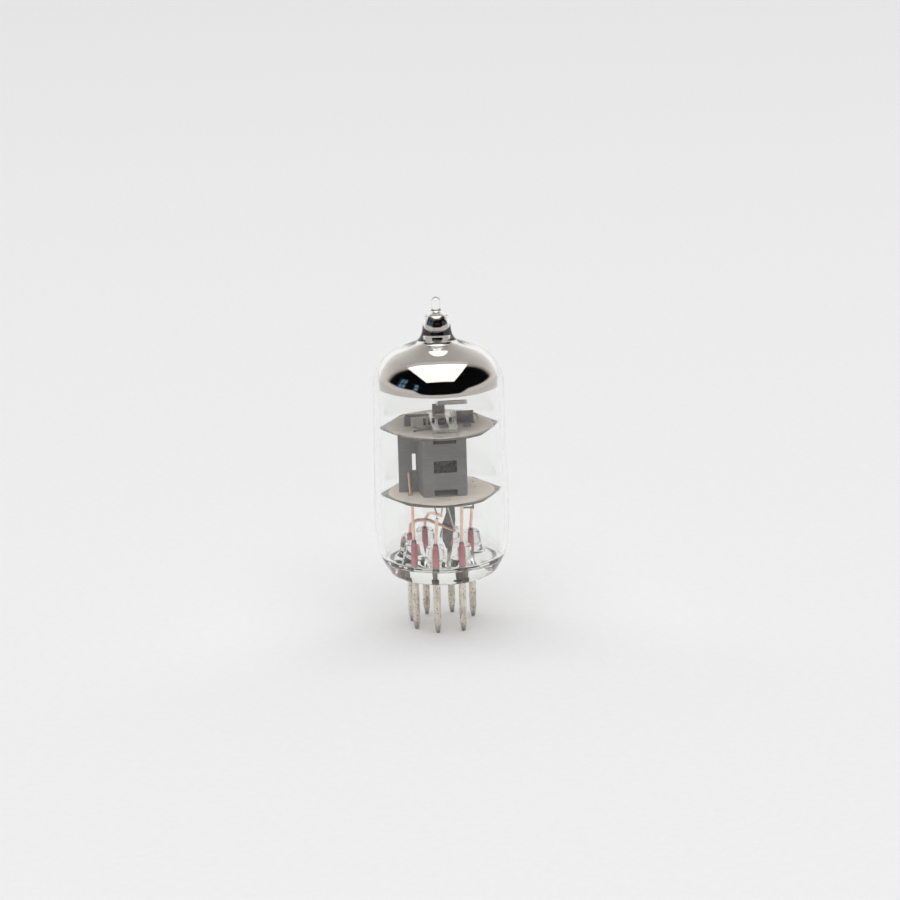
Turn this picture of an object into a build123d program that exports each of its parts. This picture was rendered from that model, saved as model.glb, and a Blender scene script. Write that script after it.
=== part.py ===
"""Seven-pin miniature vacuum tube, a small radio pentode in a domed glass bulb.

Millimetres. The origin is the centre of the plane that the pin tips stand on. +Z runs up the
tube's axis to the sealed-off tip. +X runs along the long axis of the mica wafers, away from the
anode's welded fin, and -Y is the side of the anode's front face.
"""
import os
from math import cos, radians, sin

from build123d import *

# ---------------------------------------------------------------- glass envelope
bulb_dia = 19.0            # corner of the outline at its widest, just above the base
shoulder_dia = 18.1        # outside diameter where the side wall turns into the dome
overall_height = 47.4      # pin tips to the top of the sealed tip
pin_reach = 7.6            # pin tips to the flat glass bottom
wall = 0.8                 # glass thickness of the bulb
flat_dia = 14.6            # corner of the flat bottom before rounding
cheek_dia = 18.1           # where the rounded base leans into the side wall
cheek_rise = 3.0           # that corner's height above the flat bottom
belly_rise = 7.4           # height of the greatest diameter above the flat bottom
shoulder_drop = 8.8        # shoulder corner below the very top
crown_rise = 2.74          # root of the nipple above the shoulder corner
nipple_root_dia = 4.52
nipple_dia = 3.5
nipple_drop = 2.9          # widest part of the nipple's cap below the very top
neck_drop = 1.8            # root of the glass tip below the very top
tip_dia = 1.2
heel_radius = 1.6
cheek_radius = 7.0
shoulder_radius = 5.3
root_radius = 2.1
belly_radius = 14.0
cap_radius = 0.8
neck_radius = 0.4
tip_round = 0.48

# ---------------------------------------------------------------- pressed glass stem and pins
stem_dia = 15.0            # disc sealed into the bottom of the bulb
stem_thickness = 2.3
floor_fillet = 1.1         # glass drawn up where the disc meets the bulb
bead_rise = 3.2            # glass bead around each lead above the disc
bead_base_dia = 3.3
bead_top_dia = 2.4
bead_round = 0.45
pin_circle_dia = 9.53      # seven of eight places on this circle
pin_places = 8
index_angle = -17.5        # the empty place, which keys the base
pin_dia = 1.016
pin_taper = 1.2
pin_tip_dia = 0.5
pin_depth = 1.3            # how far each pin runs into the glass
pin_tip_round = 0.15
pin_weld_dia = 0.62        # pins taper inside the glass to meet the sealing wires
seal_dia = 0.56            # sealing wire, between pin and inner lead
seal_stand = 0.1           # sealing wire showing above its bead
lead_dia = 0.46
lead_bend = 0.45           # centre-line bend radius of the inner leads

# ---------------------------------------------------------------- cage of wafers and electrodes
mica_thickness = 0.25
mica_gap = 9.35            # clear height between the two wafers
lower_mica_rise = 11.75    # underside of the lower wafer above the flat bottom
mica_point_gap = 0.06      # wafer points stop this far from the glass
mica_flank_x = 5.1
mica_flank_y = 6.0
mica_half_depth = 8.0
hole_gap = 0.04            # radial clearance of wires through the wafers
lead_slot = (0.76, 1.3)    # opening that lead 5 passes through
lead_slot_at = (-4.36, -1.4)
front_slot = (1.3, 0.35)   # narrow slot before the anode's front face
front_slot_at = (0.2, -4.95)
spare_hole_dia = 0.5
spare_holes_at = ((4.86, 3.5), (4.86, 1.0))

stack_x = 0.35             # cathode and grids stand this far off the bulb's axis
sheet = 0.15               # anode sheet
anode_width = 6.06
anode_depth = 7.0
anode_flare = 0.65         # the fin side bulges this much towards the fin
anode_bend = 0.45
fin_end = 5.92             # edge of the welded fin from the bulb's axis
window_drop = 0.35         # window centre below the middle of the anode
window_width = 3.2
window_height = 1.75
slot_height = 0.9          # slots above and below the window
slot_spacing = 3.32        # window centre to the near edge of each slot
fin_window_x = 4.0
fin_window_width = 1.05
fin_window_height = 2.45
tab_width = 0.9            # tabs that lock the anode to the wafers
tab_rise = 1.6
fin_tab_x = 4.45
side_tab_y = -1.8
side_tab_fold = 0.95       # plain-side tabs are folded over this far

cathode_dia = 1.1
cathode_wall = 0.08
cathode_overrun = 0.7      # sleeve standing out of each wafer
heater_dia = 0.24
heater_pitch = 0.42        # between the hairpin's two strands
heater_bend = 0.19

rod_overrun = 0.9          # grid rods standing out of each wafer
grid_margin = 0.55         # bare rod between a wafer and the first turn
control_rod_x = 1.2
control_rod_dia = 0.42
control_depth = 1.5
control_pitch = 0.36
screen_rod_x = 1.75
screen_rod_dia = 0.36
screen_depth = 2.9
screen_pitch = 0.55
suppressor_rod_x = 2.42
suppressor_rod_dia = 0.4
suppressor_depth = 4.8
suppressor_pitch = 1.0
winding_wire = 0.1

# ---------------------------------------------------------------- shields, straps and getter
strip = 0.15               # nickel strip
shield_width = 3.5
shield_length = 9.9        # raised part, along Y
shield_lift = 0.3          # raised part above the wafer
shield_apron = 2.3         # flat front part that lies on the wafer
shield_window_width = 1.35
shield_window_length = 8.4
shield_tab_width = 1.8
shield_tab_rise = 1.5
curb = 0.45                # turned-up long edges of the shield
flag_width = 2.4
flag_rise = 1.45
flag_foot = 1.5
flag_x = 3.75
flag_y = 1.1
flag_wire_dia = 0.34
getter_length = 4.4        # trough that held the getter metal
getter_depth = 0.8
getter_height = 0.45
getter_rise = 1.9          # underside of the trough above the upper wafer
getter_y = 3.4
post_width = 0.7
link_rise = 1.35           # strap between the fin's tab and the shield, above the wafer
link_height = 0.45
fork_reach = 2.3
mirror_film = 0.04
mirror_edge_drop = 16.4    # lower edge of the getter mirror below the very top
ribbon_clear = 0.4         # ribbon's point above the glass floor
ribbon_y = 1.9
strap_drop = 3.25          # strap from lead 1 below the lower wafer
strap_length = 1.6
strap_width = 0.5
strap_riser = 1.3          # width of its leg up to the wafer
flap_length = 1.7
flap_height = 1.9
link_dia = 0.2             # wire from lead 6 to the screen grid
link_bend = 0.3
weld_gap = 0.02            # daylight left at a spot weld between two pieces

# ---------------------------------------------------------------- heights that follow
flat_z = pin_reach
floor_z = flat_z + stem_thickness
bead_z = floor_z + bead_rise
seal_z = bead_z + seal_stand
weld_z = flat_z + pin_depth
lower_mica_z = flat_z + lower_mica_rise
cage_z = lower_mica_z + mica_thickness
upper_mica_z = cage_z + mica_gap
mica_top_z = upper_mica_z + mica_thickness
mirror_z = overall_height - mirror_edge_drop
window_z = cage_z + mica_gap / 2 - window_drop

pin_radius = pin_circle_dia / 2
pin_numbers = range(1, pin_places)


def pin_xy(number):
    """Centre of a pin, numbered anticlockwise from the empty place as seen from above."""
    angle = radians(index_angle + number * 360 / pin_places)
    return pin_radius * cos(angle), pin_radius * sin(angle)


def finish(builder, name):
    """Label a finished piece and write it under the same name."""
    builder.part.label = name
    export_step(builder.part, f"parts/{name}.step")


os.makedirs("parts", exist_ok=True)


# ---------------------------------------------------------------- glass
def bulb_outline(inset):
    """Right half of the bulb's section, set in from the outside by inset, drawn on XY."""
    top = overall_height
    corners = [
        (0, flat_z),
        (flat_dia / 2, flat_z),
        (cheek_dia / 2, flat_z + cheek_rise),
        (bulb_dia / 2, flat_z + belly_rise),
        (shoulder_dia / 2, top - shoulder_drop),
        (nipple_root_dia / 2, top - shoulder_drop + crown_rise),
        (nipple_dia / 2, top - nipple_drop),
        (tip_dia / 2, top - neck_drop),
        (tip_dia / 2, top),
        (0, top),
    ]
    bends = [heel_radius, cheek_radius, belly_radius, shoulder_radius, root_radius,
             cap_radius, neck_radius, tip_round]
    if inset:
        # the sealed tip is solid glass, so the inside ends in the nipple's cap
        corners[-3:] = [(0, top - neck_drop)]
        bends = bends[:-2]
    with BuildSketch() as section:
        with BuildLine():
            FilletPolyline(*corners, radius=bends)
            Line(corners[-1], corners[0])
        make_face()
        mirror(about=Plane.YZ)
        if inset:
            offset(amount=-inset, mode=Mode.REPLACE)
        split(bisect_by=Plane.YZ, keep=Keep.TOP)
    return section.sketch


def glass_section():
    """Right half of all the glass but the beads: the bulb's outline less its hollow."""
    with BuildSketch() as hollow:
        add(bulb_outline(wall))
        Rectangle(bulb_dia, 2 * floor_z, mode=Mode.SUBTRACT)
        fillet(hollow.vertices().group_by(Axis.Y)[0].sort_by(Axis.X)[-1], floor_fillet)
    with BuildSketch() as section:
        add(bulb_outline(0))
        add(hollow.sketch, mode=Mode.SUBTRACT)
    return section.sketch


stem_corner = (stem_dia / 2, bead_z)
with BuildPart() as glass_bulb:
    with BuildSketch(Plane.XZ):
        add(glass_section())
        Rectangle(*stem_corner, align=(Align.MIN, Align.MIN), mode=Mode.SUBTRACT)
    revolve(axis=Axis.Z)
finish(glass_bulb, "glass_bulb")


with BuildPart() as stem_glass:
    with BuildSketch(Plane.XZ):
        add(glass_section())
        Rectangle(*stem_corner, align=(Align.MIN, Align.MIN), mode=Mode.INTERSECT)
    revolve(axis=Axis.Z)
    for number in pin_numbers:
        x, y = pin_xy(number)
        with Locations((x, y, floor_z)):
            Cone(bead_base_dia / 2, bead_top_dia / 2, bead_rise,
                 align=(Align.CENTER, Align.CENTER, Align.MIN))
    fillet(stem_glass.edges().group_by(Axis.Z)[-1], bead_round)
    for number in pin_numbers:
        x, y = pin_xy(number)
        with Locations((x, y, weld_z)):
            Cone(pin_dia / 2, pin_weld_dia / 2, pin_depth,
                 align=(Align.CENTER, Align.CENTER, Align.MAX), mode=Mode.SUBTRACT)
            Cylinder(seal_dia / 2, bead_z - weld_z, align=(Align.CENTER, Align.CENTER, Align.MIN),
                     mode=Mode.SUBTRACT)
finish(stem_glass, "stem_glass")


# metal film that the fired getter leaves on the inside of the dome and nipple
with BuildPart() as getter_mirror:
    with BuildSketch(Plane.XZ):
        add(bulb_outline(wall))
        add(bulb_outline(wall + mirror_film), mode=Mode.SUBTRACT)
        Rectangle(bulb_dia, mirror_z, align=(Align.MIN, Align.MIN), mode=Mode.SUBTRACT)
    revolve(axis=Axis.Z)
finish(getter_mirror, "getter_mirror")


# ---------------------------------------------------------------- pins and sealing wires
for number in pin_numbers:
    x, y = pin_xy(number)
    with BuildPart() as pin:
        with BuildSketch(Plane.XZ):
            with BuildLine():
                Polyline((0, 0), (pin_tip_dia / 2, 0), (pin_dia / 2, pin_taper),
                         (pin_dia / 2, flat_z), (pin_weld_dia / 2, weld_z), (0, weld_z),
                         close=True)
            make_face()
        revolve(axis=Axis.Z)
        fillet(pin.edges().group_by(Axis.Z)[0], pin_tip_round)
    pin.part.position = (x, y, 0)
    finish(pin, f"pin_{number}")

    with BuildPart(Plane.XY.offset(weld_z)) as seal_wire:
        with Locations((x, y)):
            Cylinder(seal_dia / 2, seal_z - weld_z, align=(Align.CENTER, Align.CENTER, Align.MIN))
    finish(seal_wire, f"seal_wire_{number}")


# ---------------------------------------------------------------- inner leads
def bent_wire(points, dia, bend, facing=None):
    """Round wire along straight runs joined by tangent bends.

    Its first end face is square to the wire, or square to facing where that is given.
    """
    with BuildLine() as route:
        if len(points) > 2:
            FilletPolyline(*points, radius=bend)
        else:
            Line(*points)
    start = Plane(origin=route.line @ 0, z_dir=facing or route.line % 0)
    with BuildSketch(start) as section:
        Circle(dia / 2)
    sweep(section.sketch, path=route.line)


shield_underside = lower_mica_z - shield_lift - strip
fin_face_y = -sheet
wire_r = lead_dia / 2
strap_z = lower_mica_z - strap_drop



def between(share):
    """Height that far up the room between the sealing wires and the lower wafer."""
    return seal_z + share * (lower_mica_z - seal_z)


# where each lead goes above its bead; 3 and 4 arch over to the heater, 5 climbs to the fin
lead_tops = {
    1: [(4.5, 2.2, strap_z - weld_gap)],
    2: [(1.43, 4.54, shield_underside - weld_gap)],
    3: [(-2.1, 4.1, between(0.18)), (-1.6, 3.6, between(0.34)), (-0.9, 2.2, between(0.39)),
        (-0.05, 0.55, between(0.4))],
    4: [(-4.45, 1.4, between(0.18)), (-3.5, 1.35, between(0.29)), (-2.0, 1.3, between(0.29)),
        (-0.2, 1.3, between(0.15)), (1.9, 1.3, between(-0.016))],
    5: [(lead_slot_at[0] + 0.08, lead_slot_at[1] - 0.35, lower_mica_z - 0.75),
        (lead_slot_at[0] - 0.06, lead_slot_at[1] + 0.45, cage_z + 1.0),
        (-4.5, fin_face_y - wire_r - weld_gap, cage_z + 2.9)],
    6: [(-1.11, -4.54, between(0.585))],
    7: [(2.42, -4.23, lower_mica_z - weld_gap)],
}
lead_ends = {number: points[-1] for number, points in lead_tops.items()}
for number in pin_numbers:
    x, y = pin_xy(number)
    with BuildPart() as lead:
        bent_wire([(x, y, seal_z)] + lead_tops[number], lead_dia, lead_bend, facing=(0, 0, 1))
    finish(lead, f"lead_{number}")


# ---------------------------------------------------------------- mica wafers
grids = {
    "control_grid": (control_rod_x, control_rod_dia, control_depth, control_pitch),
    "screen_grid": (screen_rod_x, screen_rod_dia, screen_depth, screen_pitch),
    "suppressor_grid": (suppressor_rod_x, suppressor_rod_dia, suppressor_depth, suppressor_pitch),
}


def inner_radius(z):
    """Radius of the bulb's inner wall on its straight side at height z."""
    low, high = flat_z + belly_rise, overall_height - shoulder_drop
    share = (z - low) / (high - low)
    return (bulb_dia + (shoulder_dia - bulb_dia) * share) / 2 - wall


def mica_blank(z):
    """Wafer with a point at each end and a rounded front and back, resting on height z."""
    tip_x = inner_radius(z + mica_thickness) - mica_point_gap
    flank, depth = (mica_flank_x, mica_flank_y), (0, mica_half_depth)
    with BuildSketch(Plane.XY.offset(z)) as outline:
        with BuildLine():
            Line((tip_x, 0), flank)
            ThreePointArc(flank, depth, (-mica_flank_x, mica_flank_y))
            Line((-mica_flank_x, mica_flank_y), (-tip_x, 0))
            mirror(about=Plane.XZ)
        make_face()
    extrude(outline.sketch, amount=mica_thickness)


def mica_holes(z):
    """Holes for the cathode, the grid rods and the anode's tabs."""
    with BuildSketch(Plane.XY.offset(z)) as holes:
        with Locations((stack_x, 0)):
            Circle(cathode_dia / 2 + hole_gap)
            for rod_x, rod_dia, _, _ in grids.values():
                with Locations((-rod_x, 0), (rod_x, 0)):
                    Circle(rod_dia / 2 + hole_gap)
        with Locations((-fin_tab_x, 0)):
            Rectangle(tab_width + 2 * hole_gap, 2 * sheet + 2 * hole_gap)
        with Locations((stack_x + anode_width / 2 - sheet / 2, side_tab_y)):
            Rectangle(sheet + 2 * hole_gap, tab_width + 2 * hole_gap)
    extrude(holes.sketch, amount=mica_thickness, mode=Mode.SUBTRACT)


with BuildPart() as lower_mica:
    mica_blank(lower_mica_z)
    mica_holes(lower_mica_z)
    # lead 5 passes through to the fin, a slot lies before the anode's front face
    with BuildSketch(Plane.XY.offset(lower_mica_z)):
        with Locations(lead_slot_at):
            Rectangle(*lead_slot)
        with Locations(front_slot_at):
            Rectangle(*front_slot)
        with Locations(*spare_holes_at):
            Circle(spare_hole_dia / 2)
    extrude(amount=mica_thickness, mode=Mode.SUBTRACT)
finish(lower_mica, "lower_mica")

with BuildPart() as upper_mica:
    mica_blank(upper_mica_z)
    mica_holes(upper_mica_z)
finish(upper_mica, "upper_mica")


# ---------------------------------------------------------------- anode
left_x = stack_x - anode_width / 2
right_x = stack_x + anode_width / 2
side_y = anode_depth / 2
fin_root_x = left_x - anode_flare
slot_z = slot_spacing + slot_height / 2
with BuildPart() as anode:
    with BuildSketch(Plane.XY.offset(cage_z)):
        with BuildLine():
            FilletPolyline((left_x, -side_y), (right_x, -side_y), (right_x, side_y),
                           (left_x, side_y), (fin_root_x, 0), close=True, radius=anode_bend)
        make_face()
        offset(amount=-sheet, mode=Mode.SUBTRACT)
        with Locations(((fin_root_x + sheet - fin_end) / 2, 0)):
            Rectangle(fin_end + fin_root_x + sheet, 2 * sheet)
    extrude(amount=mica_gap)
    # window and slots through the front and back faces, window through the fin
    with BuildSketch(Plane.XZ):
        with Locations((stack_x, window_z)):
            Rectangle(window_width, window_height)
        with Locations((stack_x, window_z - slot_z), (stack_x, window_z + slot_z)):
            Rectangle(window_width, slot_height)
    extrude(amount=anode_depth, both=True, mode=Mode.SUBTRACT)
    with BuildSketch(Plane.XZ):
        with Locations((-fin_window_x, window_z)):
            Rectangle(fin_window_width, fin_window_height)
    extrude(amount=2 * sheet, both=True, mode=Mode.SUBTRACT)
    # tabs through the wafers, straight ones on the fin and folded ones on the plain side
    with BuildSketch(Plane.XY.offset(cage_z - tab_rise)):
        with Locations((-fin_tab_x, 0)):
            Rectangle(tab_width, 2 * sheet)
    extrude(amount=mica_gap + 2 * tab_rise)
    fold_z = lower_mica_z - 2 * sheet
    with BuildSketch(Plane.XY.offset(fold_z)):
        with Locations((right_x - sheet / 2, side_tab_y)):
            Rectangle(sheet, tab_width)
    extrude(amount=mica_top_z - lower_mica_z + 4 * sheet)
    with BuildSketch(Plane.XY.offset(fold_z), Plane.XY.offset(mica_top_z + sheet)):
        with Locations((right_x - sheet, side_tab_y)):
            Rectangle(side_tab_fold, tab_width, align=(Align.MIN, Align.CENTER))
    extrude(amount=sheet)
finish(anode, "anode")


# ---------------------------------------------------------------- cathode, heater and grids
with BuildPart(Plane.XY.offset(lower_mica_z - cathode_overrun)) as cathode_sleeve:
    with Locations((stack_x, 0)):
        Cylinder(cathode_dia / 2, mica_top_z - lower_mica_z + 2 * cathode_overrun,
                 align=(Align.CENTER, Align.CENTER, Align.MIN))
        Cylinder(cathode_dia / 2 - cathode_wall, mica_top_z - lower_mica_z + 2 * cathode_overrun,
                 align=(Align.CENTER, Align.CENTER, Align.MIN), mode=Mode.SUBTRACT)
finish(cathode_sleeve, "cathode_sleeve")

# hairpin inside the sleeve, its legs spread to the ends of leads 3 and 4
strand_x = heater_pitch / 2
with BuildPart() as heater:
    bent_wire([
        (lead_ends[3][0], 0.2, lead_ends[3][2] + wire_r + heater_dia),
        (stack_x - strand_x, 0, between(0.69)),
        (stack_x - strand_x, 0, mica_top_z),
        (stack_x + strand_x, 0, mica_top_z),
        (stack_x + strand_x, 0, between(0.79)),
        (stack_x + 4 * strand_x, 0.5, between(0.4)),
        (lead_ends[4][0] - 0.2, lead_ends[4][1] - 0.1, lead_ends[4][2] + wire_r + heater_dia),
    ], heater_dia, heater_bend)
finish(heater, "heater")

for name, (rod_x, rod_dia, depth, pitch) in grids.items():
    first_z = cage_z + grid_margin
    turns = int((mica_gap - 2 * grid_margin) / pitch) + 1
    with BuildPart() as grid:
        with BuildSketch(Plane.XY.offset(lower_mica_z - rod_overrun)):
            with Locations((stack_x - rod_x, 0), (stack_x + rod_x, 0)):
                Circle(rod_dia / 2)
        extrude(amount=mica_top_z - lower_mica_z + 2 * rod_overrun)
        with BuildSketch(*[Plane.XY.offset(first_z + turn * pitch) for turn in range(turns)]):
            with Locations((stack_x, 0)):
                Ellipse(rod_x + winding_wire / 2, depth / 2)
                Ellipse(rod_x - winding_wire / 2, depth / 2 - winding_wire, mode=Mode.SUBTRACT)
        extrude(amount=winding_wire)
    finish(grid, name)


# ---------------------------------------------------------------- shields
def shield_plate(wafer_z, up):
    """Nickel strip along Y whose middle stands off a wafer's face, with an open window and curbs.

    up is 1 on top of the upper wafer and -1 under the lower one.
    """
    lift, half = shield_lift, shield_length / 2
    apron_y = -half - shield_apron
    profile = [
        (apron_y, 0), (-half, 0), (-half + lift, lift), (half - strip, lift),
        (half - strip, shield_tab_rise), (half, shield_tab_rise), (half, lift - strip),
        (-half + lift + strip / 2, lift - strip), (-half, -strip), (apron_y, -strip),
    ]
    side = Plane(origin=(stack_x, 0, wafer_z + up * strip), x_dir=(0, 1, 0), z_dir=(1, 0, 0))
    with BuildSketch(side) as section:
        with BuildLine():
            Polyline(*[(y, up * z) for y, z in profile], close=True)
        make_face()
    extrude(section.sketch, amount=shield_width / 2, both=True)
    curb_plane = Plane.XY.offset(wafer_z + up * (lift + strip))
    with BuildSketch(curb_plane) as curbs:
        curb_x = shield_width / 2 - strip / 2
        with Locations((stack_x - curb_x, 0), (stack_x + curb_x, 0)):
            Rectangle(strip, shield_length - 3 * lift)
    extrude(curbs.sketch, amount=up * curb)
    with BuildSketch(Plane.XY.offset(wafer_z)) as window:
        with Locations((stack_x, 0)):
            Rectangle(shield_window_width, shield_window_length)
        # clearance for the grid rods that stand beside the window
        with Locations((stack_x, 0)):
            for rod_x, rod_dia, _, _ in grids.values():
                with Locations((-rod_x, 0), (rod_x, 0)):
                    Circle(rod_dia / 2 + hole_gap)
    extrude(window.sketch, amount=up * (lift + 2 * strip + curb), mode=Mode.SUBTRACT)
    # the rear tab is narrower than the strip
    with BuildSketch(Plane.XY.offset(wafer_z + up * (lift + strip))) as trims:
        trim = (shield_width - shield_tab_width) / 2
        trim_x = shield_width / 2 - trim / 2
        with Locations((stack_x - trim_x, half), (stack_x + trim_x, half)):
            Rectangle(trim, 4 * strip)
    extrude(trims.sketch, amount=up * shield_tab_rise, mode=Mode.SUBTRACT)


with BuildPart() as top_shield:
    shield_plate(mica_top_z, 1)
finish(top_shield, "top_shield")

with BuildPart() as lower_shield:
    shield_plate(lower_mica_z, -1)
finish(lower_shield, "lower_shield")

# pointed ribbon that hangs from the lower shield between the leads
ribbon_length = shield_underside - floor_z - ribbon_clear
ribbon_outline = [
    (0.85, 0), (1.9, 0), (2.05, 0.5), (1.95, 0.58), (1.45, 0.85), (0.68, 1),
    (0.15, 0.85), (0.15, 0.57), (0.75, 0.38),
]
with BuildPart() as shield_ribbon:
    with BuildSketch(Plane.XZ.offset(-ribbon_y)):
        with BuildLine():
            Polyline(*[(x, shield_underside - drop * ribbon_length)
                       for x, drop in ribbon_outline], close=True)
        make_face()
    extrude(amount=-strip)
finish(shield_ribbon, "shield_ribbon")


# ---------------------------------------------------------------- straps on the upper wafer
shield_left_x = stack_x - shield_width / 2
link_x = -fin_tab_x - tab_width / 3
link_z = mica_top_z + link_rise
with BuildPart() as top_link:
    with BuildSketch(Plane.XZ.offset(-sheet - weld_gap)):
        with BuildLine():
            Polyline((link_x, link_z - link_height / 2),
                     (-fin_tab_x + tab_width, link_z - link_height / 2),
                     (shield_left_x - weld_gap, link_z - link_height / 4),
                     (shield_left_x - weld_gap, link_z + link_height / 4),
                     (link_x, link_z + link_height / 2), close=True)
        make_face()
    extrude(amount=-strip)
finish(top_link, "top_link")

fork_outline = [
    (0, -2.15), (0, -2.55), (1.3, -2.8), (fork_reach + 0.2, -3.55), (fork_reach, -2.9),
    (1.7, -2.35), (fork_reach, -1.0), (1.9, -1.0), (1.3, -2.15),
]
with BuildPart() as fork_strap:
    with BuildSketch(Plane.XY.offset(mica_top_z)):
        with BuildLine():
            Polyline(*[(shield_left_x - weld_gap - x, y) for x, y in fork_outline], close=True)
        make_face()
    extrude(amount=strip)
finish(fork_strap, "fork_strap")

# dark upright flag on a foot that lies on the wafer
with BuildPart() as flag:
    with BuildSketch(Plane.XY.offset(mica_top_z)):
        with Locations((flag_x, flag_y)):
            Rectangle(flag_width, flag_foot, align=(Align.CENTER, Align.MAX))
        with Locations((stack_x + suppressor_rod_x, 0)):
            Circle(suppressor_rod_dia / 2 + 2 * hole_gap, mode=Mode.SUBTRACT)
    extrude(amount=strip)
    with BuildSketch(Plane.XY.offset(mica_top_z)):
        with Locations((flag_x, flag_y)):
            Rectangle(flag_width, strip, align=(Align.CENTER, Align.MIN))
    extrude(amount=flag_rise)
finish(flag, "flag")

with BuildPart() as flag_wire:
    wire_y = flag_y + strip + flag_wire_dia / 2 + weld_gap
    wire_z = mica_top_z + flag_rise * 0.6
    wire_end_x = flag_x + flag_width / 2
    bent_wire([(flag_x - 0.4, wire_y, wire_z), (wire_end_x + 0.35, wire_y, wire_z),
               (wire_end_x + 0.8, wire_y, mica_top_z + flag_wire_dia / 2)],
              flag_wire_dia, lead_bend)
finish(flag_wire, "flag_wire")

# ---------------------------------------------------------------- getter
getter_z = mica_top_z + getter_rise
with BuildPart() as getter_trough:
    with BuildSketch(Plane.XY.offset(getter_z)):
        with Locations((stack_x - post_width / 2, getter_y)):
            Rectangle(getter_length, getter_depth, align=(Align.MIN, Align.CENTER))
    extrude(amount=getter_height)
    fillet(getter_trough.edges().filter_by(Axis.Z), getter_depth * 0.4)
    offset(amount=-strip, openings=getter_trough.faces().sort_by(Axis.Z)[-1])
finish(getter_trough, "getter_trough")

with BuildPart() as getter_post:
    rear_y = shield_length / 2
    with BuildSketch(Plane.YZ.offset(stack_x - post_width / 2)):
        with BuildLine():
            Polyline((rear_y + weld_gap, mica_top_z + 2 * strip + shield_lift),
                     (rear_y + weld_gap, getter_z - strip), (getter_y, getter_z - strip),
                     (getter_y, getter_z), (rear_y + weld_gap + strip, getter_z),
                     (rear_y + weld_gap + strip, mica_top_z + 2 * strip + shield_lift), close=True)
        make_face()
    extrude(amount=post_width)
finish(getter_post, "getter_post")


# ---------------------------------------------------------------- straps under the lower wafer
strap_edge = (lead_ends[1][0] + wire_r, lead_ends[1][1])

# bent strap from lead 1 towards the control grid's rod, with a leg up to the wafer
with BuildPart() as grid_strap:
    with BuildSketch(Plane.XY.offset(strap_z)):
        with Locations(strap_edge):
            Rectangle(strap_length, strap_width, align=(Align.MAX, Align.CENTER))
    extrude(amount=strip)
    with BuildSketch(Plane.XY.offset(strap_z)):
        with Locations(strap_edge):
            Rectangle(strip, strap_riser, align=(Align.MAX, Align.CENTER))
    extrude(amount=lower_mica_z - strap_z)
finish(grid_strap, "grid_strap")

# light triangular end of the strap's upper part, standing out sideways under the wafer
with BuildPart() as side_flap:
    flap_x = strap_edge[0] + weld_gap
    with BuildSketch(Plane.XZ.offset(-strap_edge[1])):
        with BuildLine():
            Polyline((flap_x, lower_mica_z - flap_height),
                     (flap_x + flap_length * 0.9, lower_mica_z - flap_height * 0.6),
                     (flap_x + flap_length, lower_mica_z), (flap_x, lower_mica_z), close=True)
        make_face()
    extrude(amount=strip)
finish(side_flap, "side_flap")

# thin wire from the top of lead 6 back to the screen grid's rod
with BuildPart() as screen_link:
    top_x, top_y, top_z = lead_ends[6]
    behind_y = top_y + wire_r + weld_gap + link_dia / 2
    rod_x, rod_low_z = stack_x - screen_rod_x, lower_mica_z - rod_overrun
    bent_wire([(top_x, behind_y, top_z - 0.6), (top_x, behind_y, top_z + 0.7),
               (rod_x, -1.2, rod_low_z - link_bend),
               (rod_x, 0, rod_low_z - link_dia / 2 - weld_gap)], link_dia, link_bend)
finish(screen_link, "screen_link")
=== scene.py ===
"""Looks of the seven-pin miniature vacuum tube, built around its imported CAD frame.

Metres. +Z runs up the tube's axis, the origin is the centre of the pin tips' plane. Lengths below
are written in millimetres and turned into metres by MM.
"""
import math

import bmesh
import bpy
from mathutils import Matrix, Vector


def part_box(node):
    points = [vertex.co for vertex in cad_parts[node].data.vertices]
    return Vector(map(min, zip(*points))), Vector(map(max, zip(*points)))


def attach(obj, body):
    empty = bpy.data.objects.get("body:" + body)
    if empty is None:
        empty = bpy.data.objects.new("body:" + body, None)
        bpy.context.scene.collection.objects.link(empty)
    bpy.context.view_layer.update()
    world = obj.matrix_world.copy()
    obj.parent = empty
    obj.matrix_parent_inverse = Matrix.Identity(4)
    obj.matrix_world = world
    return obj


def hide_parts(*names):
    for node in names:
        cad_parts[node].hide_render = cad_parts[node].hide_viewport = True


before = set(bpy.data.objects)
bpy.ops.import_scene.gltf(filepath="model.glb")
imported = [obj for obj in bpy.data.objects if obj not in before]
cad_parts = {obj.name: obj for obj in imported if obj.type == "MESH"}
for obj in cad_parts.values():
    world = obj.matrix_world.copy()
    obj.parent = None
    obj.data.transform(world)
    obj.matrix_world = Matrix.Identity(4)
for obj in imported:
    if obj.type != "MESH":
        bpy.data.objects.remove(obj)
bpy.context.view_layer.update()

MM = 0.001
scene = bpy.context.scene

# ---------------------------------------------------------------- places taken from the frame
_, bulb_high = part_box("glass_bulb")
stem_low, stem_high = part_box("stem_glass")
_, mica_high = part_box("lower_mica")
film_low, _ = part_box("getter_mirror")
FLAT_Z = stem_low[2] / MM
TOP_Z = bulb_high[2] / MM - 0.001      # a hair inside the CAD box
BEAD_Z = stem_high[2] / MM
WALL = 0.8
BEAD_RISE = 3.2
FLOOR_Z = BEAD_Z - BEAD_RISE
FILM_FOOT = film_low[2] / MM


def centre(node):
    """Middle of a node's box, in millimetres."""
    low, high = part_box(node)
    return [(a + b) / 2 / MM for a, b in zip(low, high)]


PINS = {n: centre(f"pin_{n}")[:2] for n in range(1, 8)}


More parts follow.
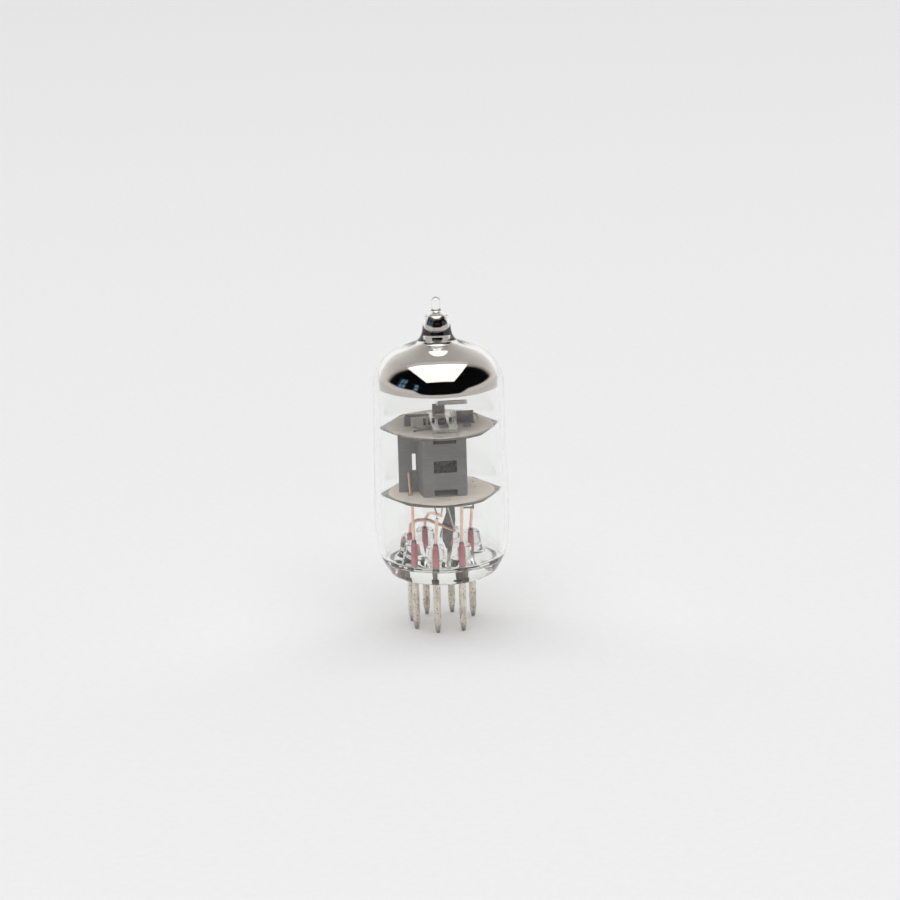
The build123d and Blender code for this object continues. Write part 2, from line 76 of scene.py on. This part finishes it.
# ---------------------------------------------------------------- mesh helpers
def rounded(corners, radii):
    """Points along a polyline whose inner corners are rounded by tangent arcs."""
    path = [Vector(corners[0])]
    for before, corner, after, radius in zip(corners, corners[1:], corners[2:], radii):
        a, b, c = Vector(before), Vector(corner), Vector(after)
        u, v = (a - b).normalized(), (c - b).normalized()
        turn = math.pi - u.angle(v)
        reach = radius * math.tan(turn / 2)
        centre_dir = (u + v).normalized()
        middle = b + centre_dir * (radius / math.cos(turn / 2))
        start, end = b + u * reach - middle, b + v * reach - middle
        steps = max(3, math.ceil(turn / math.radians(5)))
        for i in range(steps + 1):
            share = i / steps
            spin = math.sin(turn)
            point = (start * math.sin((1 - share) * turn) + end * math.sin(share * turn)) / spin
            path.append(middle + point)
    path.append(Vector(corners[-1]))
    return path


def to_object(name, bm, smooth_angle=40):
    """Turns a bmesh in millimetres into a linked object in metres with smooth shading."""
    bmesh.ops.remove_doubles(bm, verts=bm.verts, dist=1e-5)
    bmesh.ops.scale(bm, vec=(MM, MM, MM), verts=bm.verts)
    mesh = bpy.data.meshes.new(name)
    bm.to_mesh(mesh)
    bm.free()
    piece = bpy.data.objects.new(name, mesh)
    scene.collection.objects.link(piece)
    mesh.polygons.foreach_set("use_smooth", [True] * len(mesh.polygons))
    mesh.set_sharp_from_angle(angle=math.radians(smooth_angle))
    return piece


def lathe(bm, profile, segments=96, at=(0, 0)):
    """Adds a surface of revolution; a profile that climbs from the axis faces outwards."""
    rings = []
    for r, z in profile:
        if r < 1e-6:
            rings.append([bm.verts.new((at[0], at[1], z))])
            continue
        ring = []
        for i in range(segments):
            turn = 2 * math.pi * i / segments
            ring.append(bm.verts.new((at[0] + r * math.cos(turn), at[1] + r * math.sin(turn), z)))
        rings.append(ring)
    for low, high in zip(rings, rings[1:]):
        for i in range(segments):
            j = (i + 1) % segments
            corners = [low[i % len(low)], low[j % len(low)], high[j % len(high)], high[i % len(high)]]
            corners = list(dict.fromkeys(corners))
            if len(corners) > 2:
                bm.faces.new(corners)


def finish_piece(piece, material, slot, *nodes):
    """Gives a piece its material and lets it stand for its CAD nodes."""
    piece.data.materials.clear()
    piece.data.materials.append(material)
    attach(piece, "root")
    if nodes:
        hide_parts(*nodes)
    return piece


# ---------------------------------------------------------------- material helpers
class Nodes:
    """Short names for building a material's node tree."""

    def __init__(self, name, owner=None, output="ShaderNodeOutputMaterial"):
        self.material = owner or bpy.data.materials.new(name)
        self.material.use_nodes = True
        self.tree = self.material.node_tree
        self.tree.nodes.clear()
        self.out = self.add(output)

    def add(self, kind, **sockets):
        node = self.tree.nodes.new(kind)
        for key, value in sockets.items():
            self.put(node, key.replace("_", " "), value)
        return node

    def put(self, node, socket, value):
        if isinstance(value, bpy.types.NodeSocket):
            self.tree.links.new(value, node.inputs[socket])
        else:
            node.inputs[socket].default_value = value

    def place(self):
        """Object coordinates in metres."""
        return self.add("ShaderNodeTexCoord").outputs["Object"]

    def scaled(self, vector, x, y, z):
        """Coordinates stretched along each axis."""
        node = self.add("ShaderNodeMapping", Vector=vector)
        node.inputs["Scale"].default_value = (x, y, z)
        return node.outputs["Vector"]

    def noise(self, vector, scale, detail=4.0, rough=0.55):
        node = self.add("ShaderNodeTexNoise", Vector=vector, Scale=scale, Detail=detail,
                        Roughness=rough)
        return node.outputs["Fac"]

    def ramp(self, value, *stops):
        """Colour ramp; each stop is (place, colour)."""
        node = self.add("ShaderNodeValToRGB", Fac=value)
        band = node.color_ramp.elements
        while len(band) < len(stops):
            band.new(0.5)
        for element, (place, colour) in zip(band, stops):
            element.position = place
            element.color = (*colour, 1) if len(colour) == 3 else colour
        return node.outputs["Color"]

    def ranged(self, value, low, high, to_low=0.0, to_high=1.0):
        node = self.add("ShaderNodeMapRange", Value=value)
        node.inputs["From Min"].default_value = low
        node.inputs["From Max"].default_value = high
        node.inputs["To Min"].default_value = to_low
        node.inputs["To Max"].default_value = to_high
        return node.outputs["Result"]

    def maths(self, how, a, b=0.0):
        node = self.add("ShaderNodeMath")
        node.operation = how
        for i, value in enumerate((a, b)):
            self.put(node, i, value)
        return node.outputs["Value"]

    def split(self, vector):
        return self.add("ShaderNodeSeparateXYZ", Vector=vector).outputs

    def bump(self, height, distance, strength=1.0):
        return self.add("ShaderNodeBump", Height=height, Distance=distance,
                        Strength=strength).outputs["Normal"]

    def surface(self, shader):
        self.tree.links.new(shader.outputs[0], self.out.inputs["Surface"])
        return self.material


def clear_glass():
    """Clear lime glass with a faint grey-green depth and very slight waviness."""
    n = Nodes("clear_glass")
    place = n.place()
    wave = n.noise(n.scaled(place, 1, 1, 0.5), 140.0, 2.0)
    shader = n.add("ShaderNodeBsdfPrincipled", Base_Color=(0.985, 0.992, 0.985, 1), IOR=1.5)
    shader.inputs["Transmission Weight"].default_value = 1.0
    shader.inputs["Roughness"].default_value = 0.0
    n.put(shader, "Normal", n.bump(wave, 0.00002, 0.5))
    # lamps light the cage through the glass instead of stopping at it
    lit = n.add("ShaderNodeBsdfTransparent", Color=(0.93, 0.93, 0.92, 1))
    shadow = n.add("ShaderNodeLightPath").outputs["Is Shadow Ray"]
    mix = n.add("ShaderNodeMixShader", Fac=shadow)
    n.tree.links.new(shader.outputs[0], mix.inputs[1])
    n.tree.links.new(lit.outputs[0], mix.inputs[2])
    depth = n.add("ShaderNodeVolumeAbsorption", Color=(0.80, 0.83, 0.80, 1), Density=30.0)
    n.tree.links.new(depth.outputs[0], n.out.inputs["Volume"])
    return n.surface(mix)


def getter_film():
    """Evaporated mirror that thins through warm brown to nothing at its lower edge."""
    n = Nodes("getter_film")
    place = n.place()
    z = n.split(place)["Z"]
    drift = n.noise(n.scaled(place, 1, 1, 0.7), 160.0, 3.0)
    height = n.maths("ADD", z, n.ranged(drift, 0.0, 1.0, -0.0009, 0.0009))
    solid = n.ranged(height, (FILM_FOOT + 0.5) * MM, (FILM_FOOT + 2.4) * MM)
    tint = n.ramp(n.ranged(height, (FILM_FOOT + 0.2) * MM, (FILM_FOOT + 1.9) * MM),
                  (0.0, (1.0, 1.0, 1.0)), (0.35, (0.90, 0.84, 0.78)),
                  (0.7, (0.62, 0.50, 0.40)), (1.0, (0.30, 0.21, 0.15)))
    metal = n.add("ShaderNodeBsdfPrincipled", Base_Color=(0.52, 0.475, 0.44, 1), Metallic=1.0)
    metal.inputs["Roughness"].default_value = 0.03
    clear = n.add("ShaderNodeBsdfTransparent", Color=tint)
    mix = n.add("ShaderNodeMixShader", Fac=solid)
    n.tree.links.new(clear.outputs[0], mix.inputs[1])
    n.tree.links.new(metal.outputs[0], mix.inputs[2])
    return n.surface(mix)


def metal(name, colours, scale, rough, grain=(1, 1, 1), bump=0.000004, metallic=1.0):
    """Wire or strip metal with drawn grain, blotches and uneven gloss."""
    n = Nodes(name)
    place = n.place()
    grained = n.scaled(place, *grain)
    fine = n.noise(grained, scale * 6, 5.0, 0.7)
    blotch = n.noise(place, scale, 4.0, 0.6)
    colour = n.ramp(n.maths("ADD", n.maths("MULTIPLY", fine, 0.45), n.maths("MULTIPLY", blotch, 0.55)),
                    *zip((0.3, 0.5, 0.72), colours))
    shader = n.add("ShaderNodeBsdfPrincipled", Base_Color=colour, Metallic=metallic)
    n.put(shader, "Roughness", n.ranged(fine, 0.2, 0.8, rough[0], rough[1]))
    n.put(shader, "Normal", n.bump(fine, bump))
    return n.surface(shader)


def pin_metal():
    """Drawn nickel-alloy pin: tarnished beige, darker specks, oxide near the glass and tip."""
    n = Nodes("pin_metal")
    place = n.place()
    z = n.split(place)["Z"]
    drawn = n.noise(n.scaled(place, 1, 1, 0.06), 5200.0, 4.0, 0.7)
    blotch = n.noise(place, 900.0, 4.0, 0.65)
    speck = n.noise(place, 4200.0, 2.0, 0.5)
    base = n.ramp(n.maths("ADD", n.maths("MULTIPLY", drawn, 0.5), n.maths("MULTIPLY", blotch, 0.5)),
                  (0.34, (0.44, 0.39, 0.33)), (0.5, (0.80, 0.74, 0.65)), (0.66, (0.95, 0.91, 0.84)))
    dark = n.ranged(speck, 0.60, 0.68, 0.0, 0.75)
    low = n.ranged(z, 0.0014, 0.0002, 0.0, 0.6)
    high = n.ranged(z, (FLAT_Z - 0.5) * MM, (FLAT_Z + 0.4) * MM, 0.0, 0.85)
    soot = n.maths("MAXIMUM", n.maths("MAXIMUM", dark, low), high)
    mix = n.add("ShaderNodeMix")
    mix.data_type = "RGBA"
    n.put(mix, 0, soot)
    n.tree.links.new(base, mix.inputs[6])
    mix.inputs[7].default_value = (0.045, 0.038, 0.032, 1)
    shader = n.add("ShaderNodeBsdfPrincipled", Base_Color=mix.outputs[2])
    n.put(shader, "Metallic", n.ranged(soot, 0.0, 1.0, 0.65, 0.35))
    n.put(shader, "Roughness", n.ranged(blotch, 0.2, 0.8, 0.28, 0.5))
    n.put(shader, "Normal", n.bump(drawn, 0.000012))
    return n.surface(shader)


def seal_red():
    """Copper-clad sealing wire oxidised pink-red, darkening to its ends."""
    n = Nodes("seal_red")
    place = n.place()
    z = n.split(place)["Z"]
    patch = n.noise(n.scaled(place, 1, 1, 0.4), 1500.0, 4.0, 0.6)
    rise = n.maths("ADD", n.ranged(z, FLOOR_Z * MM, BEAD_Z * MM), n.ranged(patch, 0, 1, -0.08, 0.08))
    colour = n.ramp(rise, (-0.02, (0.30, 0.28, 0.27)), (0.08, (0.86, 0.33, 0.36)),
                    (0.78, (0.82, 0.27, 0.30)), (0.93, (0.30, 0.10, 0.09)))
    shader = n.add("ShaderNodeBsdfPrincipled", Base_Color=colour, Metallic=0.15)
    n.put(shader, "Roughness", n.ranged(patch, 0.2, 0.8, 0.35, 0.6))
    n.put(shader, "Normal", n.bump(patch, 0.00001))
    return n.surface(shader)


def anode_grey():
    """Matt grey carbonised sheet with fine rolling lines across it."""
    n = Nodes("anode_grey")
    place = n.place()
    lines = n.noise(n.scaled(place, 0.05, 0.05, 1), 9000.0, 3.0, 0.6)
    cloud = n.noise(place, 420.0, 4.0, 0.6)
    grit = n.noise(place, 12000.0, 2.0, 0.5)
    tone = n.maths("ADD", n.maths("MULTIPLY", lines, 0.6), n.maths("MULTIPLY", cloud, 0.4))
    colour = n.ramp(tone, (0.3, (0.20, 0.195, 0.192)), (0.5, (0.265, 0.257, 0.252)),
                    (0.7, (0.34, 0.33, 0.322)))
    shader = n.add("ShaderNodeBsdfPrincipled", Base_Color=colour, Metallic=0.25)
    n.put(shader, "Roughness", n.ranged(grit, 0.2, 0.8, 0.5, 0.68))
    n.put(shader, "Normal", n.bump(n.maths("ADD", lines, n.maths("MULTIPLY", grit, 0.4)), 0.00001))
    return n.surface(shader)


def coated_mica():
    """Mica with a sprayed matt coating that stops short of a clear cleaved rim."""
    n = Nodes("coated_mica")
    place = n.place()
    x, y, _ = n.split(place)
    half_x = mica_high[0]
    half_y = mica_high[1]
    ragged = n.noise(place, 700.0, 3.0, 0.6)
    across = n.maths("DIVIDE", x, half_x - 1.0 * MM)
    along = n.maths("DIVIDE", y, half_y - 0.1 * MM)
    reach = n.maths("ADD", n.maths("POWER", n.maths("ABSOLUTE", across), 1.7),
                    n.maths("POWER", n.maths("ABSOLUTE", along), 1.9))
    reach = n.maths("ADD", reach, n.ranged(ragged, 0, 1, -0.05, 0.05))
    coat = n.ranged(reach, 0.97, 1.0, 1.0, 0.0)
    grain = n.noise(place, 5200.0, 4.0, 0.7)
    cloud = n.noise(place, 260.0, 3.0, 0.5)
    colour = n.ramp(n.maths("ADD", n.maths("MULTIPLY", grain, 0.5), n.maths("MULTIPLY", cloud, 0.5)),
                    (0.3, (0.66, 0.57, 0.50)), (0.5, (0.78, 0.70, 0.63)), (0.7, (0.87, 0.80, 0.73)))
    spray = n.add("ShaderNodeBsdfPrincipled", Base_Color=colour, Roughness=0.7)
    n.put(spray, "Normal", n.bump(grain, 0.00002))
    sheet = n.add("ShaderNodeBsdfTransparent", Color=(0.90, 0.89, 0.87, 1))
    gloss = n.add("ShaderNodeBsdfGlossy", Color=(0.9, 0.9, 0.9, 1), Roughness=0.08)
    facing = n.add("ShaderNodeFresnel", IOR=1.5)
    clear = n.add("ShaderNodeMixShader", Fac=facing.outputs[0])
    n.tree.links.new(sheet.outputs[0], clear.inputs[1])
    n.tree.links.new(gloss.outputs[0], clear.inputs[2])
    mix = n.add("ShaderNodeMixShader", Fac=coat)
    n.tree.links.new(clear.outputs[0], mix.inputs[1])
    n.tree.links.new(spray.outputs[0], mix.inputs[2])
    return n.surface(mix)


def white_coating():
    """Sintered alumina on the heater wire."""
    n = Nodes("white_coating")
    place = n.place()
    grain = n.noise(place, 9000.0, 4.0, 0.7)
    colour = n.ramp(grain, (0.3, (0.62, 0.60, 0.57)), (0.5, (0.80, 0.79, 0.76)),
                    (0.7, (0.88, 0.87, 0.85)))
    shader = n.add("ShaderNodeBsdfPrincipled", Base_Color=colour, Roughness=0.8)
    n.put(shader, "Normal", n.bump(grain, 0.00002))
    return n.surface(shader)


def floor_paper():
    """Pale seamless paper."""
    n = Nodes("floor_paper")
    place = n.place()
    fibre = n.noise(place, 900.0, 4.0, 0.6)
    colour = n.ramp(fibre, (0.3, (0.86, 0.86, 0.865)), (0.7, (0.885, 0.885, 0.89)))
    shader = n.add("ShaderNodeBsdfPrincipled", Base_Color=colour, Roughness=0.9)
    shader.inputs["Specular IOR Level"].default_value = 0.1
    n.put(shader, "Normal", n.bump(fibre, 0.00001))
    return n.surface(shader)


GLASS = clear_glass()
FILM = getter_film()
PIN = pin_metal()
SEAL = seal_red()
ANODE = anode_grey()
MICA = coated_mica()
COATING = white_coating()
COPPER = metal("copper", ((0.80, 0.46, 0.33), (0.97, 0.70, 0.57), (1.0, 0.82, 0.72)), 900.0,
               (0.25, 0.45), grain=(1, 1, 0.15))
NICKEL = metal("nickel", ((0.42, 0.40, 0.37), (0.66, 0.64, 0.60), (0.82, 0.80, 0.77)), 700.0,
               (0.2, 0.42), grain=(1, 0.2, 1))
GREY_STRIP = metal("grey_strip", ((0.14, 0.13, 0.125), (0.26, 0.24, 0.23), (0.45, 0.42, 0.40)), 800.0,
                   (0.32, 0.55), grain=(1, 0.3, 1), metallic=0.8)

DARK = metal("dark_wire", ((0.05, 0.045, 0.04), (0.11, 0.10, 0.09), (0.62, 0.58, 0.52)), 1600.0,
             (0.3, 0.5), grain=(1, 1, 1))


# ---------------------------------------------------------------- glass envelope
OUTLINE = [
    (0, FLAT_Z), (7.3, FLAT_Z), (9.05, FLAT_Z + 3.0), (9.49, FLAT_Z + 7.4), (9.05, TOP_Z - 8.8),
    (2.26, TOP_Z - 6.06), (1.75, TOP_Z - 2.9), (0.6, TOP_Z - 1.8), (0.6, TOP_Z), (0, TOP_Z),
]
BENDS = [1.6, 7.0, 14.0, 5.3, 2.1, 0.8, 0.4, 0.56]


def inset(path, amount):
    """A path moved to its left by amount, point by point."""
    moved = []
    for i, point in enumerate(path):
        before = path[max(i - 1, 0)]
        after = path[min(i + 1, len(path) - 1)]
        way = (after - before).normalized()
        moved.append(point + Vector((-way.y, way.x)) * amount)
    return moved


def hollow_outline(extra):
    """Inner outline from the wall's foot up to the axis, extra millimetres inside the glass."""
    path = inset(rounded(OUTLINE[:7], BENDS[:5]), WALL)
    path = [p for p in path if FLOOR_Z + 1.2 < p.y and p.x > 2.9]
    neck = rounded([path[-1], (1.95, TOP_Z - 6.55), (1.55, TOP_Z - 5.3), (1.74, TOP_Z - 4.1),
                    (1.3, TOP_Z - 2.75), (0.36, TOP_Z - 2.15), (0, TOP_Z - 2.1)],
                   [1.1, 1.2, 2.2, 1.1, 0.5])
    path = inset(path[:-1] + neck, extra)
    return [p for p in path if p.x > 0.01] + [Vector((0, path[-1].y))]


def bead_profile():
    """Glass bead around one lead, flared where it runs into the floor and rounded on top."""
    base, top, rise = 1.65, 1.2, BEAD_Z - FLOOR_Z
    corners = [(0, FLOOR_Z - 0.5), (base + 0.45, FLOOR_Z - 0.5), (base + 0.42, FLOOR_Z + 0.02),
               (base - 0.05, FLOOR_Z + 0.5), (top + 0.03, BEAD_Z - 0.25), (0.45, BEAD_Z),
               (0, BEAD_Z + 0.02)]
    return rounded(corners, [0.01, 0.3, 0.8, 0.5, 0.2])


def united(base, others):
    """Applies exact boolean unions of other objects to base and removes them."""
    for other in others:
        union = base.modifiers.new("union", "BOOLEAN")
        union.operation = "UNION"
        union.solver = "EXACT"
        union.object = other
    bpy.context.view_layer.update()
    graph = bpy.context.evaluated_depsgraph_get()
    mesh = bpy.data.meshes.new_from_object(base.evaluated_get(graph))
    base.modifiers.clear()
    base.data = mesh
    for other in others:
        bpy.data.objects.remove(other)
    mesh.polygons.foreach_set("use_smooth", [True] * len(mesh.polygons))
    mesh.set_sharp_from_angle(angle=math.radians(40))
    return base


def glass_envelope():
    """Bulb and pressed stem, fused into one body of glass as they are in the real tube."""
    outside = rounded(OUTLINE, BENDS)
    inside = hollow_outline(0.0)
    foot = inside[0]
    dish = rounded([(0, FLOOR_Z), (foot.x - 0.75, FLOOR_Z), (foot.x + 0.02, FLOOR_Z + 0.75), foot],
                   [0.7, 0.5])
    bm = bmesh.new()
    lathe(bm, outside, 128)
    lathe(bm, list(reversed(dish[:-1] + inside)), 128)
    body = to_object("glass_envelope", bm)
    beads = []
    for n, at in PINS.items():
        bm = bmesh.new()
        lathe(bm, bead_profile(), 48, at)
        beads.append(to_object(f"bead_{n}", bm))
    return body, beads


envelope, beads = glass_envelope()
envelope = united(envelope, beads)
finish_piece(envelope, GLASS, "clear_glass", "glass_bulb", "stem_glass")


# ---------------------------------------------------------------- getter mirror
def getter_mirror():
    """Thin closed film just inside the glass, from its lower edge to the nipple's cap."""
    outer = [p for p in hollow_outline(0.012) if p.y > FILM_FOOT]
    inner = [p for p in hollow_outline(0.030) if p.y > FILM_FOOT]
    bm = bmesh.new()
    lathe(bm, list(reversed(inner)) + outer, 128)
    return to_object("mirror_film", bm)


finish_piece(getter_mirror(), FILM, "getter_film", "getter_mirror")


# ---------------------------------------------------------------- pins and sealing wires
PIN_R = 0.508
PIN_DEPTH = 1.3            # how far a pin runs into the glass


def pin_profile():
    """Straight pin with a tapered, rounded end, narrower inside the glass."""
    r = PIN_R
    root_z = FLAT_Z + PIN_DEPTH
    corners = [(0, 0), (0.2, 0), (0.26, 0.12), (r - 0.03, 1.25), (r, 1.7), (r, FLAT_Z - 0.1),
               (0.45, FLAT_Z + 0.15), (0.45, root_z), (0, root_z)]
    return rounded(corners, [0.08, 0.3, 0.4, 0.6, 0.1, 0.3, 0.05])


def sealing_profile():
    """Sealing wire from the pin's root to just above its bead, slightly thicker low down."""
    low_z, high_z, r = FLAT_Z + PIN_DEPTH, BEAD_Z + 0.1, 0.28
    corners = [(0, low_z), (r, low_z), (r * 1.1, low_z + 1.0), (r, high_z - 0.4),
               (r * 0.8, high_z), (0, high_z)]
    return rounded(corners, [0.05, 0.5, 0.5, 0.1])


def turned(name, profile, segments, at):
    """A piece turned about a pin's axis."""
    bm = bmesh.new()
    lathe(bm, profile, segments, at)
    return to_object(name, bm)


for n, at in PINS.items():
    pin = turned(f"contact_pin_{n}", pin_profile(), 48, at)
    finish_piece(pin, PIN, "pin_metal", f"pin_{n}")
    wire = turned(f"sealing_wire_{n}", sealing_profile(), 32, at)
    finish_piece(wire, SEAL, "seal_metal", f"seal_wire_{n}")


# ---------------------------------------------------------------- pieces kept from the frame
def dress(node, material):
    """Gives a CAD node its finished material."""
    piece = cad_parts[node]
    piece.data.materials.clear()
    piece.data.materials.append(material)


for node, material in {
    "lower_mica": MICA, "upper_mica": MICA, "anode": ANODE, "cathode_sleeve": DARK,
    "heater": COATING, "control_grid": DARK, "screen_grid": DARK, "suppressor_grid": DARK,
    "top_shield": NICKEL, "lower_shield": GREY_STRIP, "shield_ribbon": GREY_STRIP,
    "top_link": GREY_STRIP, "fork_strap": GREY_STRIP, "flag": GREY_STRIP, "flag_wire": NICKEL,
    "getter_trough": NICKEL, "getter_post": NICKEL, "grid_strap": GREY_STRIP, "side_flap": NICKEL,
    "screen_link": NICKEL,
}.items():
    dress(node, material)
for n in PINS:
    dress(f"lead_{n}", COPPER)


# ---------------------------------------------------------------- floor, light and camera
def floor():
    """Wide pale floor under the pins."""
    bm = bmesh.new()
    bmesh.ops.create_grid(bm, x_segments=8, y_segments=8, size=2500)
    piece = to_object("floor", bm)
    piece.data.materials.append(floor_paper())


def softbox(name, place, target, width, depth, watts, colour=(1, 1, 1)):
    """Rectangular area light at a place in metres, aimed at a target."""
    light = bpy.data.lights.new(name, "AREA")
    light.shape = "RECTANGLE"
    light.size, light.size_y = width, depth
    light.energy = watts
    light.color = colour
    lamp = bpy.data.objects.new(name, light)
    lamp.location = place
    way = Vector(place) - Vector(target)
    lamp.rotation_euler = way.to_track_quat("Z", "Y").to_euler()
    scene.collection.objects.link(lamp)


def studio():
    """White sweep behind and beside the tube, unlit room in front; the one big softbox overhead is a
    separate lamp.
    """
    world = bpy.data.worlds.new("studio")
    n = Nodes("studio", world, "ShaderNodeOutputWorld")
    toward = n.add("ShaderNodeTexCoord").outputs["Generated"]
    x, y, z = n.split(toward)
    flat = n.maths("SQRT", n.maths("ADD", n.maths("MULTIPLY", x, x), n.maths("MULTIPLY", y, y)))
    front = n.maths("DIVIDE", n.maths("MULTIPLY", y, -1.0), n.maths("MAXIMUM", flat, 0.001))
    edge = n.maths("MINIMUM", n.maths("SUBTRACT", 0.68, n.maths("MULTIPLY", front, 0.85)), 0.17)
    open_room = n.ranged(front, -0.52, -0.34)
    above = n.ranged(n.maths("SUBTRACT", z, edge), -0.03, 0.03)
    dark = n.maths("MULTIPLY", open_room, above)
    room = n.ramp(dark, (0.0, SWEEP_COLOUR), (1.0, ROOM_COLOUR))
    left = n.ranged(x, -0.05, -0.06)
    panes = 0.0
    for front_low, front_high, low, high in WINDOWS:
        wide = n.maths("MULTIPLY", n.ranged(front, front_low, front_low + 0.02),
                       n.ranged(front, front_high, front_high - 0.02))
        tall = n.maths("MULTIPLY", n.ranged(z, low, low + 0.02), n.ranged(z, high, high - 0.02))
        panes = n.maths("ADD", panes, n.maths("MULTIPLY", n.maths("MULTIPLY", wide, tall), left))
    mix = n.add("ShaderNodeMix")
    mix.data_type = "RGBA"
    n.put(mix, 0, panes)
    n.tree.links.new(room, mix.inputs[6])
    mix.inputs[7].default_value = (*WINDOW_COLOUR, 1)
    colour = mix.outputs[2]
    # the sweep is dimmer high up behind the tube
    strength = n.ranged(z, 0.25, 0.95, SWEEP_LIGHT, SWEEP_LIGHT * 0.6)
    sky = n.add("ShaderNodeBackground", Color=colour, Strength=strength)
    n.surface(sky)
    scene.world = world


# heights and spans are shares of the lamp's height, so its reflection keeps its shape
SWEEP_COLOUR = (1.0, 0.985, 0.965)
ROOM_COLOUR = (0.006, 0.006, 0.007)
WINDOW_COLOUR = (0.20, 0.42, 0.68)
WINDOWS = ((0.05, 0.16, 0.16, 0.36), (0.05, 0.16, 0.38, 0.56), (0.18, 0.30, 0.20, 0.38),
           (0.18, 0.30, 0.40, 0.58), (0.60, 0.72, 0.18, 0.32), (0.60, 0.72, 0.34, 0.48))
SWEEP_LIGHT = 0.94
LIGHT_HEIGHT = 3.0
LIGHT_RADIANCE = 2.15
LIGHT_SPAN = (1.25 * LIGHT_HEIGHT, 1.45 * LIGHT_HEIGHT)
LIGHT_Y = -0.33 * LIGHT_HEIGHT

floor()
studio()
softbox("overhead", (0.0, LIGHT_Y, LIGHT_HEIGHT), (0.0, LIGHT_Y, 0.0),
        *LIGHT_SPAN, LIGHT_RADIANCE * math.pi * LIGHT_SPAN[0] * LIGHT_SPAN[1])
scene.view_settings.view_transform = "Standard"
scene.cycles.max_bounces = 24
scene.cycles.transmission_bounces = 20
scene.cycles.glossy_bounces = 8
scene.cycles.transparent_max_bounces = 24
scene.cycles.sample_clamp_indirect = 6.0

DISTANCE = 0.55
ELEVATION = math.radians(18.243)
AZIMUTH = math.radians(-5.0)
FOCAL = 4.3033             # focal length in frame widths
SENSOR_MM = 36.0
OFF_X, OFF_Y = -0.00528, -0.19109      # the origin's place, from the middle, in frame widths
ROLL = math.radians(-1.7)


def camera():
    """Camera at the picture's angle: the origin lies below the middle of the frame."""
    back = Vector((math.sin(AZIMUTH) * math.cos(ELEVATION), -math.cos(AZIMUTH) * math.cos(ELEVATION),
                   math.sin(ELEVATION)))
    right = Vector((math.cos(AZIMUTH), math.sin(AZIMUTH), 0))
    up = back.cross(right)
    turn = Matrix((right, up, back)).transposed().to_4x4()
    turn = turn @ Matrix.Rotation(ROLL, 4, "Z")
    turn = turn @ Matrix.Rotation(math.atan(-OFF_Y / FOCAL), 4, "X")
    turn = turn @ Matrix.Rotation(math.atan(OFF_X / FOCAL), 4, "Y")
    data = bpy.data.cameras.new("camera")
    data.sensor_width = SENSOR_MM
    data.lens = FOCAL * SENSOR_MM
    data.clip_start = 0.01
    eye = bpy.data.objects.new("camera", data)
    eye.matrix_world = Matrix.Translation(back * DISTANCE) @ turn
    scene.collection.objects.link(eye)
    scene.camera = eye


camera()
